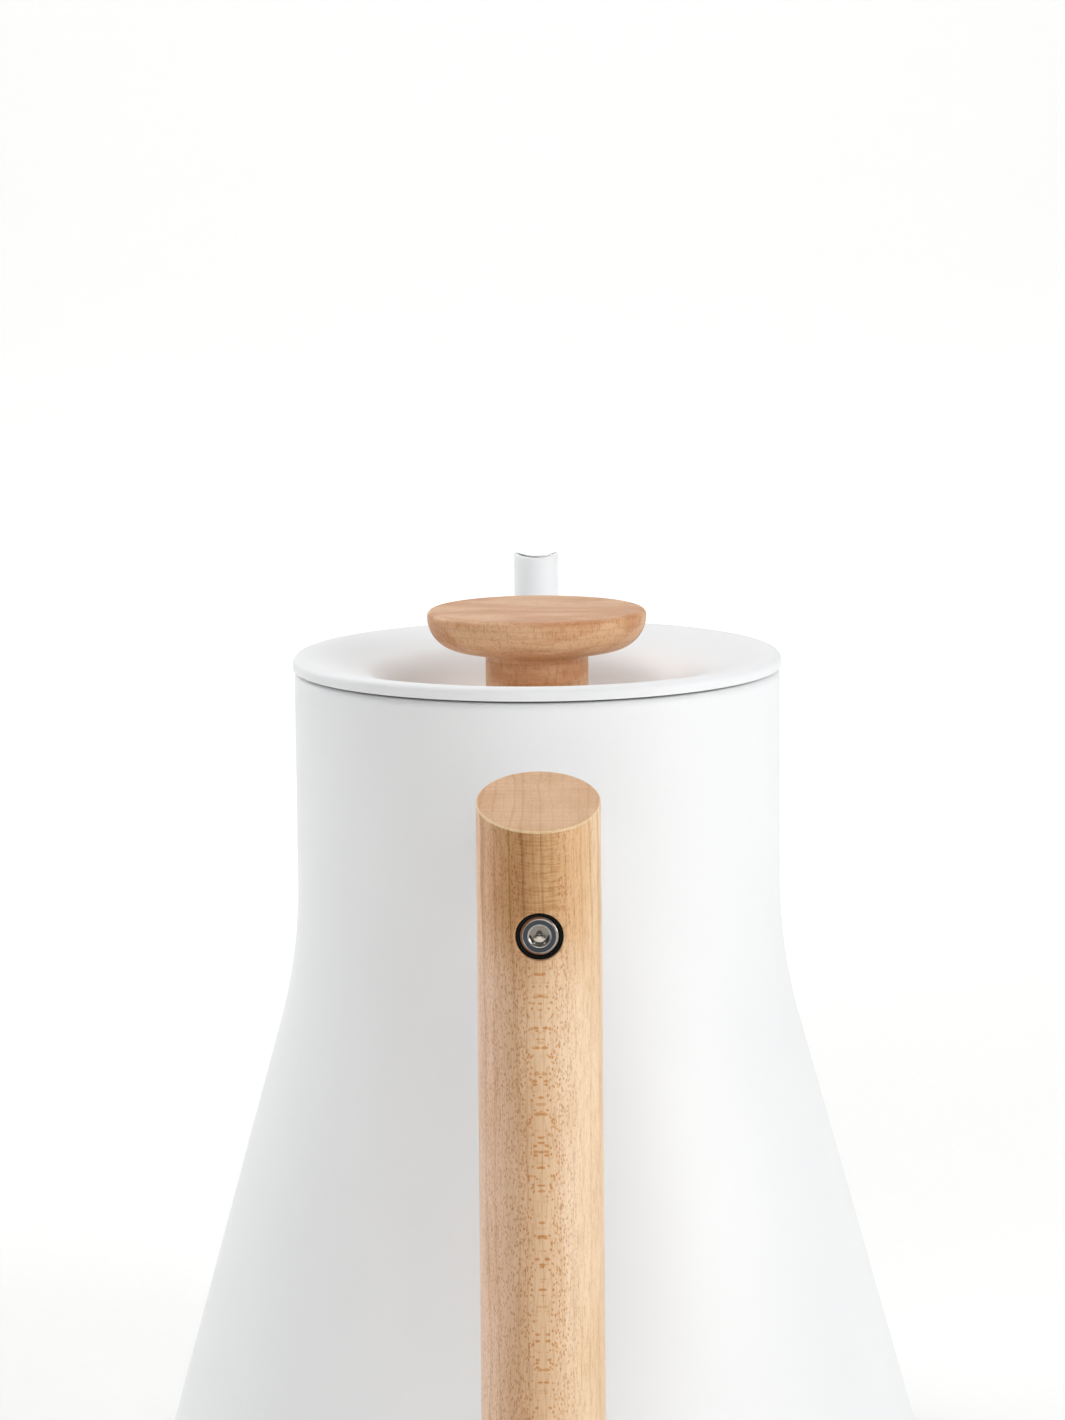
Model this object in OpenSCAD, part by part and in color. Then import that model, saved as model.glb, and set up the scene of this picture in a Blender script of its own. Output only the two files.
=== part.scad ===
// Stovetop kettle: a spun steel body with a gooseneck spout, a dished lid with a whistle under it,
// and a maple knob and handle. It stands on z = 0 with its axis on Z, the spout on +X and the handle on -X.

/* [Body] */
// Height of the body from the table to its rim
body_h = 174; // [160:1:190]
// Outside diameter of the straight neck
neck_d = 100; // [95:1:110]
// Length of the straight neck, from the rim down
neck_len = 44; // [40:1:52]
// Diameter at which the line of the cone meets the table
foot_d = 164; // [152:1:176]
// Radius of the flare between neck and cone
flare_r = 111; // [90:1:120]
// Radius of the bottom corner
corner_r = 5; // [4:0.5:7]
// Thickness of the shell's sheet
wall = 1; // [0.8:0.1:1.2]
// Radius of the rim's outer edge
rim_r = 1.6; // [1.4:0.1:2]
// Width of the rim, from the collar's bore to the neck's outside
rim_w = 6; // [5.6:0.1:6.6]
// Radius of the bend from the rim into the collar
bend_r = 2; // [1.5:0.1:2.2]
// Depth of the collar inside the neck
collar_h = 11; // [10:0.5:16]

/* [Base] */
// Height of the capsule base under the shell
capsule_h = 5; // [4:0.5:7]
// Outside diameter of the capsule base
capsule_d = 142; // [130:1:144]
// Thickness of the capsule's cap
cap_t = 0.6; // [0.5:0.1:1]
// Thickness of the vessel's floor
floor_t = 1; // [0.8:0.1:1.4]
// Angle up to which the floor's edge follows the corner
floor_edge_angle = 70; // [45:5:85]

/* [Spout] */
// Distance of the spout's tip from the kettle's axis
spout_reach = 118; // [112:1:126]
// Height of the mouth above the body's rim
spout_rise = 9.9; // [4:0.1:16]
// Outside diameter at the tip
tip_d = 10.3; // [9:0.1:13]
// Outside diameter at the root
root_d = 25; // [22:0.5:29]
// Height of the root's middle above the table
root_z = 48; // [42:1:60]
// Thickness of the spout's sheet
spout_t = 0.8; // [0.6:0.1:1]
// Radius of the weld fillet around the root
root_fillet = 3; // [2:0.5:5]
// Lean of the tip away from the vertical
tip_lean = 24; // [14:1:32]
// How much lower the mouth is cut on its pouring side
mouth_dip = 1.4; // [0.5:0.1:3]
// How much lower the mouth is cut at its back
back_dip = 0.7; // [0:0.1:1.2]
// Diameter of the strainer holes behind the root
strainer_d = 4.4; // [3:0.2:4.8]

/* [Lid] */
// Overhang of the lid past the neck
lid_over = 0.3; // [0:0.1:0.6]
// Height of the lid's highest line above the body's rim
lid_h = 3.1; // [3:0.1:4.5]
// Shadow gap between the lid's hem and the body's rim
hem_gap = 0.25; // [0.2:0.05:0.8]
// Radius of the lid's outer edge
lid_edge_r = 1.5; // [1.2:0.1:2]
// Width of the lid's ring, which slopes towards the dish
ring_w = 13.9; // [12.4:0.1:15]
// Slope of the ring
ring_slope = 15.7; // [13:0.1:18]
// Radius of the turn from the lid's edge into the ring's slope
shoulder_r = 9.8; // [8:0.2:12]
// Depth of the dish's floor below the lid's highest line
dish_depth = 12.6; // [11.5:0.1:14]
// Radius of the roll from the ring into the dish
roll_r = 9.3; // [7.5:0.1:10]
// Radius of the fillet round the dish's floor
dish_fillet = 3; // [2:0.5:4]
// Steepness of the dish's wall
dish_angle = 72; // [66:1:78]
// Thickness of the lid's sheet
lid_t = 1; // [0.8:0.1:1.1]
// Thickness of the skirt's sheet under the lid
skirt_t = 0.8; // [0.6:0.1:1]
// Thickness of the seal's wall
gasket_t = 1.2; // [1:0.1:1.4]
// Depth that the seal reaches into the neck
gasket_h = 8; // [6:0.5:8.5]

/* [Knob] */
// Diameter of the knob's head
knob_d = 45.2; // [38:0.2:48]
// Height of the knob's top above the body's rim
knob_rise = 12.1; // [10.5:0.1:20]
// Diameter of the knob's stem
stem_d = 21.2; // [18:0.2:23]
// Radius of the head's side
knob_side_r = 6.85; // [5:0.05:8]
// Radius of the head's top edge
knob_edge_r = 1.35; // [0.6:0.05:2]
// Slope of the head's underside
knob_slope = 10.4; // [8:0.2:18]
// Diameter of the brass insert in the knob
insert_d = 8; // [7.5:0.5:10]
// Length of the brass insert
insert_len = 10; // [8:0.5:11]

/* [Whistle] */
// Outside diameter of the whistle's cup
whistle_d = 14; // [12:0.5:14.5]
// Thickness of the cup's sheet
cup_t = 0.6; // [0.4:0.1:0.8]
// Thickness of each whistle plate
plate_t = 0.5; // [0.3:0.1:0.8]
// Height of the chamber between the plates
chamber_h = 2.4; // [1.5:0.1:4]
// Diameter of the whistle's holes
whistle_hole_d = 2.2; // [1.5:0.1:3]

/* [Handle] */
// Distance of the grip's axis from the kettle's axis
grip_reach = 120; // [112:1:130]
// Diameter of the grip at its top
grip_d = 22.4; // [20:0.1:25]
// Diameter of the grip at its foot
grip_foot_d = 22.8; // [20:0.1:26]
// Depth of the middle of the grip's top face below the body's rim
grip_drop = 6.8; // [4:0.2:10]
// Slope of the grip's top face, down towards the user
grip_cut = 17.6; // [10:0.2:22]
// Height of the grip's foot above the table
grip_foot_z = 38; // [20:1:60]
// Radius of the grip's foot edge
grip_edge_r = 2; // [1:0.5:4]
// Depth of the screw's and the arm's axis below the body's rim
arm_drop = 29.3; // [27:0.1:32]
// Outside diameter of the arm
arm_d = 16; // [14:0.5:18]
// Thickness of the arm's wall
arm_t = 1.5; // [1:0.1:2]
// Depth of the screw head's face inside the grip
head_sink = 0.8; // [0.4:0.1:4]
// Thickness of the black sleeve in the counterbore
sleeve_t = 0.65; // [0.5:0.05:1]
// Length of the screw below its head
screw_len = 25; // [22:1:30]

/* [Hidden] */
$fn = 96;

steel_white = [0.93, 0.93, 0.93];
steel_bare = [0.72, 0.73, 0.74];
maple = [0.80, 0.63, 0.47];

fit = 0.05;        // play between pieces that are pressed or welded into each other
turn_gap = 0.3;    // play between the lid's skirt and the seal, in which the lid turns
slide_gap = 0.3;   // play between the seal's ribs and the collar, in which the lid slides
rib_h = 0.3;       // height of the seal's ribs

// body
neck_r = neck_d / 2;
flare_z = body_h - neck_len;
flare_side = neck_r + flare_r - foot_d / 2;
cone_a = asin(flare_r / norm([flare_side, flare_z])) - atan2(flare_side, flare_z);
corner_z = capsule_h + corner_r;
corner_x = cone_r(corner_z) - corner_r / cos(cone_a);
capsule_r = capsule_d / 2;
spreader_r = capsule_r - cap_t - 2 * fit;
collar_r = neck_r - rim_w;

// lid
lid_r = neck_r + lid_over;
ring_z = body_h + lid_h;
shoulder_x = lid_r - lid_edge_r;
ring_start = [shoulder_x, ring_z - shoulder_r] + shoulder_r * [-sin(ring_slope), cos(ring_slope)];
knee_r = lid_r - ring_w;
knee_z = ring_start[1] - (ring_start[0] - knee_r) * tan(ring_slope);
roll_c = [knee_r, knee_z] + roll_r * [sin(ring_slope), -cos(ring_slope)];
dish_z = ring_z - dish_depth;
wall_drop = roll_c[1] + roll_r * cos(dish_angle) - dish_z - dish_fillet * (1 - cos(dish_angle));
dish_floor_r = roll_c[0] - (roll_r + dish_fillet) * sin(dish_angle) - wall_drop / tan(dish_angle);
dish_under_z = dish_z - lid_t;
gasket_r = collar_r - slide_gap - rib_h;      // outside of the seal's wall
skirt_r = gasket_r - gasket_t - turn_gap;     // outside of the skirt's wall
flange_r = neck_r - rim_r;                    // edge of the seal's flange
lip_top = body_h - gasket_h - turn_gap;       // upper face of the skirt's lip

// knob, with an M5 screw from below
knob_top = body_h + knob_rise;
knob_screw_d = 5;
knob_head_d = 9;
knob_head_h = 3;
knob_screw_len = 12;
knob_washer_d = 11;
knob_washer_t = 1;

// whistle, hung as far out under the dish's floor as it has room
whistle_r = whistle_d / 2;
whistle_x = dish_floor_r - whistle_r - 0.4;
whistle_stack = [seal_t(), plate_t, chamber_h, plate_t];
function seal_t() = 0.6;

// handle, with an M4 socket screw
arm_z = body_h - arm_drop;
screw_d = 4;
head_d = 7;
head_h = 4;
socket_af = 3;
socket_depth = 2.2;
washer_t = 0.8;
sleeve_sink = 1;   // the sleeve's end below the grip's back
bore_d = head_d + 2 * (fit + sleeve_t + 2 * fit);
head_x = -grip_reach - grip_d / 2 + head_sink;
bore_x = head_x + head_h + washer_t;          // floor of the counterbore
nut_len = 14;

function arc(c, r, a0, a1, n) =
    [for (i = [0 : n]) c + r * [cos(a0 + (a1 - a0) * i / n), sin(a0 + (a1 - a0) * i / n)]];
function reversed(p) = [for (i = [len(p) - 1 : -1 : 0]) p[i]];
function cone_r(z) = foot_d / 2 - z * tan(cone_a);
// Height of the lid's underside where its ring slopes
function ring_under(r) = knee_z + (r - knee_r) * tan(ring_slope) - lid_t / cos(ring_slope);

module spun(points) rotate_extrude() polygon(points);
module ring(r_out, r_in, h) difference() {
    cylinder(r = r_out, h = h);
    translate([0, 0, -1]) cylinder(r = r_in, h = h + 2);
}
module along_x(x, z) translate([x, 0, z]) rotate([0, 90, 0]) children();

// The shell's line, moved t into the metal: lip, corner and cone
function shell_line(t) = concat(
    [[spreader_r + 2 * fit, capsule_h + t]],
    arc([corner_x, corner_z], corner_r - t, -90, cone_a, 8)
);
// The neck's line, moved t into the metal: from its seam on the cone through the flare to the top
function neck_line(t) = concat(
    arc([neck_r + flare_r, flare_z], flare_r + t, 180 + cone_a, 180, 14),
    [[neck_r - t, body_h - rim_r]]
);
// The collar's line, moved t into the metal: rim, ledge, bend and the tube that guides the lid
function collar_line(t) = concat(
    arc([neck_r - rim_r, body_h - rim_r], rim_r - t, 0, 90, 5),
    arc([collar_r + bend_r, body_h - bend_r], bend_r - t, 90, 180, 5),
    [[collar_r + t, body_h - collar_h]]
);

module outer_body() spun(concat(shell_line(0), neck_line(0), [[0, body_h - rim_r], [0, capsule_h]]));

module strainer_holes() {
    pitch = root_d / 2 - spout_t - strainer_d / 2 - 2.9;
    translate([cone_r(root_z), 0, root_z]) rotate([0, 90 - cone_a, 0]) {
        cylinder(d = strainer_d, h = 6 * wall, center = true, $fn = 32);
        for (a = [30 : 60 : 330])
            rotate([0, 0, a]) translate([pitch, 0, 0])
                cylinder(d = strainer_d, h = 8 * wall, center = true, $fn = 32);
    }
}

module body_shell() color(steel_white) difference() {
    spun(concat(shell_line(0), [neck_line(0)[0], neck_line(wall)[0]], reversed(shell_line(wall))));
    strainer_holes();
}

// A spun tube, welded edge to edge onto the cone
module body_neck() color(steel_white) spun(concat(neck_line(0), reversed(neck_line(wall))));

// A drawn ring, welded edge to edge onto the neck
module neck_collar() color(steel_white) spun(concat(collar_line(0), reversed(collar_line(wall))));

// A disc whose edge follows the corner inside the shell
function floor_line(t) = concat(
    [[0, capsule_h + wall + t]],
    arc([corner_x - fit, corner_z], corner_r - wall - t, -90, floor_edge_angle - 90, 6)
);
module body_floor() color(steel_bare) spun(concat(floor_line(0), reversed(floor_line(floor_t))));

module heat_spreader() color([0.78, 0.78, 0.77])
    spun([[0, cap_t], [spreader_r - cap_t, cap_t], [spreader_r, 2 * cap_t], [spreader_r, capsule_h + wall],
        [0, capsule_h + wall]]);

// The cap's line, moved t into the metal
function cap_line(t) = concat(
    [[0, t]],
    arc([capsule_r - 2 * cap_t, 2 * cap_t], 2 * cap_t - t, -90, 0, 5),
    [[capsule_r - t, capsule_h]]
);
module base_cap() color(steel_bare) spun(concat(cap_line(0), reversed(cap_line(cap_t))));

// Spout: rings around a curve in the XZ plane, outside and inside, closed at the foot and the mouth
spout_sides = 32;
spout_rings = 26;
foot_gap = 0.02;
mouth_z = body_h + spout_rise;
tip_dir = [sin(tip_lean), cos(tip_lean)];
root_dir = [cos(cone_a), sin(cone_a)];
tip_room = 1 + tip_d / 2 * tan(tip_lean) + mouth_dip;     // the last full ring's distance below the mouth
spout_start = [cone_r(root_z), root_z] + (root_fillet + 1) * root_dir;
spout_end = [spout_reach, mouth_z] - tip_room * tip_dir;
spout_pull = spout_end[1] - root_z;
spout_curve = [spout_start, spout_start + 0.32 * spout_pull * root_dir,
               spout_end - 0.42 * spout_pull * tip_dir, spout_end];

function bezier(p, t) = pow(1 - t, 3) * p[0] + 3 * t * pow(1 - t, 2) * p[1]
    + 3 * t * t * (1 - t) * p[2] + pow(t, 3) * p[3];
function bezier_dir(p, t) =
    let (d = pow(1 - t, 2) * (p[1] - p[0]) + 2 * t * (1 - t) * (p[2] - p[1]) + t * t * (p[3] - p[2]))
    d / norm(d);
function spout_radius(t) = tip_d / 2 + (root_d - tip_d) / 2 * pow(1 - t, 2);
function circle_at(c, d, r) =
    [for (i = [0 : spout_sides - 1]) let (a = 360 * i / spout_sides)
        [c[0] + r * cos(a) * d[1], r * sin(a), c[1] - r * cos(a) * d[0]]];
function spout_ring(t, inset) =
    circle_at(bezier(spout_curve, t), bezier_dir(spout_curve, t), spout_radius(t) - inset);
// A ring of the foot: a circle laid on the cone, then lifted off it by rise
function foot_ring(r, rise) =
    [for (p = circle_at(spout_start, root_dir, r))
        [sqrt(pow(cone_r(p[2]) + foot_gap, 2) - p[1] * p[1]) + rise * root_dir[0], p[1],
         p[2] + rise * root_dir[1]]];
// The weld fillet runs from the cone up to the root
function foot_fillet() =
    [for (a = [0 : 15 : 90]) foot_ring(root_d / 2 + root_fillet * (1 - sin(a)), root_fillet * (1 - cos(a)))];
// The mouth is highest at its sides, and dips in front and a little behind
function spout_mouth(inset) =
    [for (i = [0 : spout_sides - 1])
        let (p = spout_ring(1, inset)[i], front = cos(360 * i / spout_sides),
             dip = (front > 0 ? mouth_dip : back_dip) * pow(abs(front), 1.6),
             s = (mouth_z - dip - p[2]) / tip_dir[1])
        [p[0] + s * tip_dir[0], p[1], p[2] + s * tip_dir[1]]];
function spout_skin(foot, inset) = concat(
    foot,
    [for (i = [0 : spout_rings]) spout_ring(pow(i / spout_rings, 1.2), inset)],
    [spout_mouth(inset)]
);

module spout() color(steel_white) {
    rings = concat(spout_skin(foot_fillet(), 0),
        reversed(spout_skin([foot_ring(root_d / 2 - spout_t, 0)], spout_t)));
    count = len(rings);
    n = spout_sides;
    polyhedron(
        points = [for (r = rings) for (p = r) p],
        faces = [for (j = [0 : count - 1]) for (i = [0 : n - 1])
            let (a = j * n + i, b = j * n + (i + 1) % n,
                 c = ((j + 1) % count) * n + (i + 1) % n, d = ((j + 1) % count) * n + i)
            each [[a, d, b], [b, d, c]]]
    );
}

module grip_solid() translate([-grip_reach, 0, 0])
    spun(concat(
        [[0, grip_foot_z]],
        arc([grip_foot_d / 2 - grip_edge_r, grip_foot_z + grip_edge_r], grip_edge_r, -90, 0, 6),
        [[grip_d / 2, body_h - grip_drop], [grip_d / 2, body_h], [0, body_h]]
    ));

module handle_arm() color(steel_white) difference() {
    along_x(-grip_reach, arm_z) ring(arm_d / 2, arm_d / 2 - arm_t, grip_reach);
    outer_body();
    grip_solid();
}

module arm_nut() color(steel_bare) difference() {
    along_x(-grip_reach, arm_z) ring(arm_d / 2 - arm_t - fit, screw_d / 2 + fit, grip_d / 2 + nut_len);
    grip_solid();
}

module handle_grip() color(maple) difference() {
    grip_solid();
    translate([-grip_reach, 0, body_h - grip_drop]) rotate([0, -grip_cut, 0])
        translate([-grip_d, -grip_d, 0]) cube([2 * grip_d, 2 * grip_d, grip_d]);
    along_x(-grip_reach - grip_d, arm_z) cylinder(d = screw_d + 0.6, h = 2 * grip_d);
    along_x(bore_x - grip_d, arm_z) cylinder(d = bore_d, h = grip_d);
}

module grip_sleeve() color([0.1, 0.1, 0.1]) {
    start = -grip_reach - grip_d / 2 + sleeve_sink;
    along_x(start, arm_z) ring(bore_d / 2 - fit, bore_d / 2 - fit - sleeve_t, bore_x - start);
}

module grip_washer() color(steel_bare)
    along_x(bore_x - washer_t, arm_z) ring(head_d / 2, screw_d / 2 + 0.2, washer_t);

module grip_screw() color(steel_bare) along_x(head_x, arm_z) difference() {
    union() {
        spun([[0, 0], [head_d / 2 - 0.4, 0], [head_d / 2, 0.4], [head_d / 2, head_h], [0, head_h]]);
        cylinder(d = screw_d, h = head_h + screw_len);
    }
    translate([0, 0, -1]) rotate([0, 0, 30])
        cylinder(d = socket_af / cos(30), h = socket_depth + 1, $fn = 6);
}

// The seal's wall with two ribs, under a flange that carries the lid on the rim
module lid_gasket() color([0.1, 0.1, 0.1]) {
    low = body_h - gasket_h;
    inner = gasket_r - gasket_t;
    crest = shoulder_x - (shoulder_r - lid_t) * sin(ring_slope);     // from here out the flange's top is level
    spun(concat(
        [[inner, low], [gasket_r, low]],
        [for (z = [low + 0.9, low + 0.6 * gasket_h]) each [[gasket_r, z], [gasket_r + rib_h, z + 0.6],
            [gasket_r, z + 1.2]]],
        [[gasket_r, body_h], [flange_r, body_h], [flange_r, ring_under(crest)], [crest, ring_under(crest)],
         [inner, ring_under(inner)]]
    ));
}

// The lid's upper line, moved t into the metal: floor, fillet, wall, roll, ring, shoulder and edge
function lid_line(t) = concat(
    [[knob_screw_d / 2 + 0.3, dish_z - t]],
    arc([dish_floor_r, dish_z + dish_fillet], dish_fillet + t, 270, 270 + dish_angle, 7),
    arc(roll_c, roll_r - t, 90 + dish_angle, 90 + ring_slope, 9),
    arc([shoulder_x, ring_z - shoulder_r], shoulder_r - t, 90 + ring_slope, 90 + ring_slope / 4, 3),
    arc([shoulder_x, ring_z - lid_edge_r], lid_edge_r - t, 90, 0, 5),
    [[lid_r - t, body_h + hem_gap]]
);
module lid_shell() color(steel_white) difference() {
    spun(concat(lid_line(0), reversed(lid_line(lid_t))));
    translate([whistle_x, 0, dish_under_z - 1]) cylinder(d = whistle_hole_d + 1, h = lid_t + 2);
}

// A tube welded under the ring, with a lip that holds the seal
module lid_skirt() color(steel_bare) {
    inner = skirt_r - skirt_t;
    lip_z = lip_top - skirt_t;
    spun(concat(
        [[inner, ring_under(inner)]], arc([inner + 1, lip_z + 1], 1, 180, 270, 4),
        [[gasket_r, lip_z], [gasket_r, lip_top], [skirt_r, lip_top], [skirt_r, ring_under(skirt_r)]]
    ));
}

module knob() color(maple) {
    root_r = 1.1;                                   // fillet between stem and head
    side_z = knob_top - knob_edge_r;
    side_x = knob_d / 2 - knob_side_r;
    slope_a = knob_slope - 90;                      // where the side meets the underside
    join = [side_x, side_z] + knob_side_r * [cos(slope_a), sin(slope_a)];
    root_x = stem_d / 2 + root_r;
    fillet_z = join[1] - (join[0] - root_x) * tan(knob_slope) - root_r / cos(knob_slope);
    difference() {
        spun(concat(
            [[0, dish_z], [stem_d / 2, dish_z]],
            arc([root_x, fillet_z], root_r, 180, 90 + knob_slope, 5),
            arc([side_x, side_z], knob_side_r, slope_a, 0, 12),
            arc([knob_d / 2 - knob_edge_r, knob_top - knob_edge_r], knob_edge_r, 0, 90, 5),
            [[0, knob_top]]
        ));
        translate([0, 0, dish_z - 1]) cylinder(r = insert_d / 2 + fit, h = insert_len + 2);
        translate([0, 0, dish_z - 1])
            cylinder(r = knob_screw_d / 2 + fit, h = max(insert_len, knob_screw_len) + 2.5);
    }
}

module knob_insert() color([0.78, 0.62, 0.3]) {
    r = insert_d / 2;
    bore = knob_screw_d / 2 + fit;
    groove = insert_len / 2;
    translate([0, 0, dish_z]) spun([[bore, 0], [r, 0], [r, groove - 1], [r - 0.5, groove - 0.5],
        [r - 0.5, groove + 0.5], [r, groove + 1], [r, insert_len], [bore, insert_len]]);
}

module knob_washer() color([0.85, 0.85, 0.83]) translate([0, 0, dish_under_z - knob_washer_t])
    ring(knob_washer_d / 2, knob_screw_d / 2 + 0.2, knob_washer_t);

// A pan head with a cross recess, its shank up through the lid's floor into the insert
module knob_screw() color(steel_bare) translate([0, 0, dish_under_z - knob_washer_t]) difference() {
    union() {
        spun(concat([[0, -knob_head_h]], arc([knob_head_d / 2 - 1.6, 1.6 - knob_head_h], 1.6, -90, 0, 5),
            [[knob_head_d / 2, 0], [0, 0]]));
        cylinder(d = knob_screw_d, h = knob_screw_len);
    }
    for (a = [0, 90]) rotate([0, 0, a]) translate([-2.2, -0.5, -knob_head_h - 1]) cube([4.4, 1, 2.6]);
}

// The whistle's pieces hang under the dish's floor in this order, each below the last
function stack_z(i) = i == 0 ? dish_under_z : stack_z(i - 1) - whistle_stack[i - 1];
module stacked(i, hole_r) translate([whistle_x, 0, stack_z(i + 1)])
    ring(whistle_r - cup_t - fit, hole_r, whistle_stack[i]);
chamber_r = whistle_r - cup_t - 1.9;

module whistle_seal() color([0.1, 0.1, 0.1]) stacked(0, chamber_r);
module whistle_outer_plate() color(steel_bare) stacked(1, whistle_hole_d / 2);
module whistle_spacer() color(steel_bare) stacked(2, chamber_r);
module whistle_inner_plate() color(steel_bare) stacked(3, whistle_hole_d / 2);
module whistle_cup() color(steel_bare) translate([whistle_x, 0, 0])
    spun([[chamber_r, stack_z(4) - cup_t], [whistle_r - cup_t, stack_z(4) - cup_t],
        [whistle_r, stack_z(4)], [whistle_r, dish_under_z], [whistle_r - cup_t, dish_under_z],
        [whistle_r - cup_t, stack_z(4)], [chamber_r, stack_z(4)]]);

body_shell();
body_neck();
neck_collar();
body_floor();
heat_spreader();
base_cap();
spout();
handle_arm();
arm_nut();
handle_grip();
grip_sleeve();
grip_washer();
grip_screw();
lid_gasket();
lid_shell();
lid_skirt();
knob();
knob_insert();
knob_screw();
knob_washer();
whistle_cup();
whistle_seal();
whistle_outer_plate();
whistle_spacer();
whistle_inner_plate();
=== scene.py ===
import math
import bpy
import bmesh
from mathutils import Matrix, Vector


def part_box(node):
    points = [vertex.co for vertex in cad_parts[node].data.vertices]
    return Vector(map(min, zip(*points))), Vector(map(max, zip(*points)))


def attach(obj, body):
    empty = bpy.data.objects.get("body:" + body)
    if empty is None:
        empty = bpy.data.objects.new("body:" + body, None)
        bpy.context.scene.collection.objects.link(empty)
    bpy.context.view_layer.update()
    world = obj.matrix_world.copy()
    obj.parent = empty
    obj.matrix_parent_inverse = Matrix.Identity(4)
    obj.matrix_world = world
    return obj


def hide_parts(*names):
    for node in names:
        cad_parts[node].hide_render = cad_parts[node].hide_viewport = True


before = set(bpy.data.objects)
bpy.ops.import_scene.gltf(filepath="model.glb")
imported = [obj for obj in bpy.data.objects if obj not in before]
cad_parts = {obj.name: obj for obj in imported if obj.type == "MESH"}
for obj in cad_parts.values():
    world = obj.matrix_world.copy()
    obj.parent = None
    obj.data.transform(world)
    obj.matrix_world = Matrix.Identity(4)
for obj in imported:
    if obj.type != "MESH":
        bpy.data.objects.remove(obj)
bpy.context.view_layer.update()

mm = 0.001
scene = bpy.context.scene
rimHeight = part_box("neck_collar")[1].z / mm
screwHeight = (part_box("grip_screw")[0].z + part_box("grip_screw")[1].z) / 2 / mm

# The camera stands behind the handle and looks a little down on the lid
camera = dict(distance=871.05, height=126.69, pitch=8.856, yaw=0.067, roll=-0.523, lens=108.155)


def makeCamera(spec):
    pitch, yaw, roll = (math.radians(spec[key]) for key in ("pitch", "yaw", "roll"))
    ahead = Vector((math.cos(pitch) * math.cos(yaw), math.cos(pitch) * math.sin(yaw), -math.sin(pitch)))
    level = ahead.cross(Vector((0, 0, 1))).normalized()
    upright = level.cross(ahead)
    right = level * math.cos(roll) + upright * math.sin(roll)
    up = right.cross(ahead)
    data = bpy.data.cameras.new("camera")
    data.sensor_fit = "VERTICAL"
    data.sensor_height = 36
    data.lens = spec["lens"]
    eye = bpy.data.objects.new("camera", data)
    turn = Matrix((right, up, -ahead)).transposed().to_4x4()
    place = Vector((-spec["distance"], 0, rimHeight + spec["height"])) * mm
    eye.matrix_world = Matrix.Translation(place) @ turn
    scene.collection.objects.link(eye)
    scene.camera = eye


makeCamera(camera)
print("camera ready")


# Materials: each pattern is measured in millimetres of the object's own space

def linear(hexColour):
    values = [int(hexColour[i:i + 2], 16) / 255 for i in (0, 2, 4)]
    return [v / 12.92 if v <= 0.04045 else ((v + 0.055) / 1.055) ** 2.4 for v in values] + [1]


def addNode(tree, kind, settings=None, **inputs):
    # settings are the node's own properties, inputs its sockets: a number, a colour or another socket.
    # A socket goes by its name, or by its number as in i0
    node = tree.nodes.new("ShaderNode" + kind)
    for key, value in (settings or {}).items():
        setattr(node, key, value)
    for key, value in inputs.items():
        byNumber = key[0] == "i" and key[1:].isdigit()
        socket = node.inputs[int(key[1:]) if byNumber else key.replace("_", " ")]
        if isinstance(value, bpy.types.NodeSocket):
            tree.links.new(value, socket)
        else:
            socket.default_value = value
    return node


def newMaterial(name, **values):
    made = bpy.data.materials.new(name)
    made.use_nodes = True
    tree = made.node_tree
    tree.nodes.clear()
    shader = addNode(tree, "BsdfPrincipled", **values)
    addNode(tree, "OutputMaterial", Surface=shader.outputs[0])
    return made, tree, shader


def millimetres(tree, stretch=(1, 1, 1)):
    # the point's place in millimetres, divided by the size of one grain along each axis
    place = addNode(tree, "TexCoord").outputs["Object"]
    scale = [1 / (mm * size) for size in stretch]
    return addNode(tree, "VectorMath", dict(operation="MULTIPLY"), i0=place, i1=scale).outputs[0]


def maths(tree, operation, a, b=0.0):
    return addNode(tree, "Math", dict(operation=operation), i0=a, i1=b).outputs[0]


def band(tree, value, low, high, toLow=0.0, toHigh=1.0):
    settings = dict(interpolation_type="SMOOTHSTEP")
    return addNode(tree, "MapRange", settings, Value=value, From_Min=low, From_Max=high,
                   To_Min=toLow, To_Max=toHigh).outputs[0]


def blendColours(tree, amount, first, second):
    node = addNode(tree, "Mix", dict(data_type="RGBA"), Factor=amount)
    for socket, colour in ((node.inputs[6], first), (node.inputs[7], second)):
        if isinstance(colour, bpy.types.NodeSocket):
            tree.links.new(colour, socket)
        else:
            socket.default_value = colour
    return node.outputs[2]


def setBump(tree, shader, height, depth, strength=1.0):
    # depth is the height of the relief in millimetres
    bump = addNode(tree, "Bump", Height=height, Distance=depth * mm, Strength=strength)
    tree.links.new(bump.outputs[0], shader.inputs["Normal"])


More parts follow.
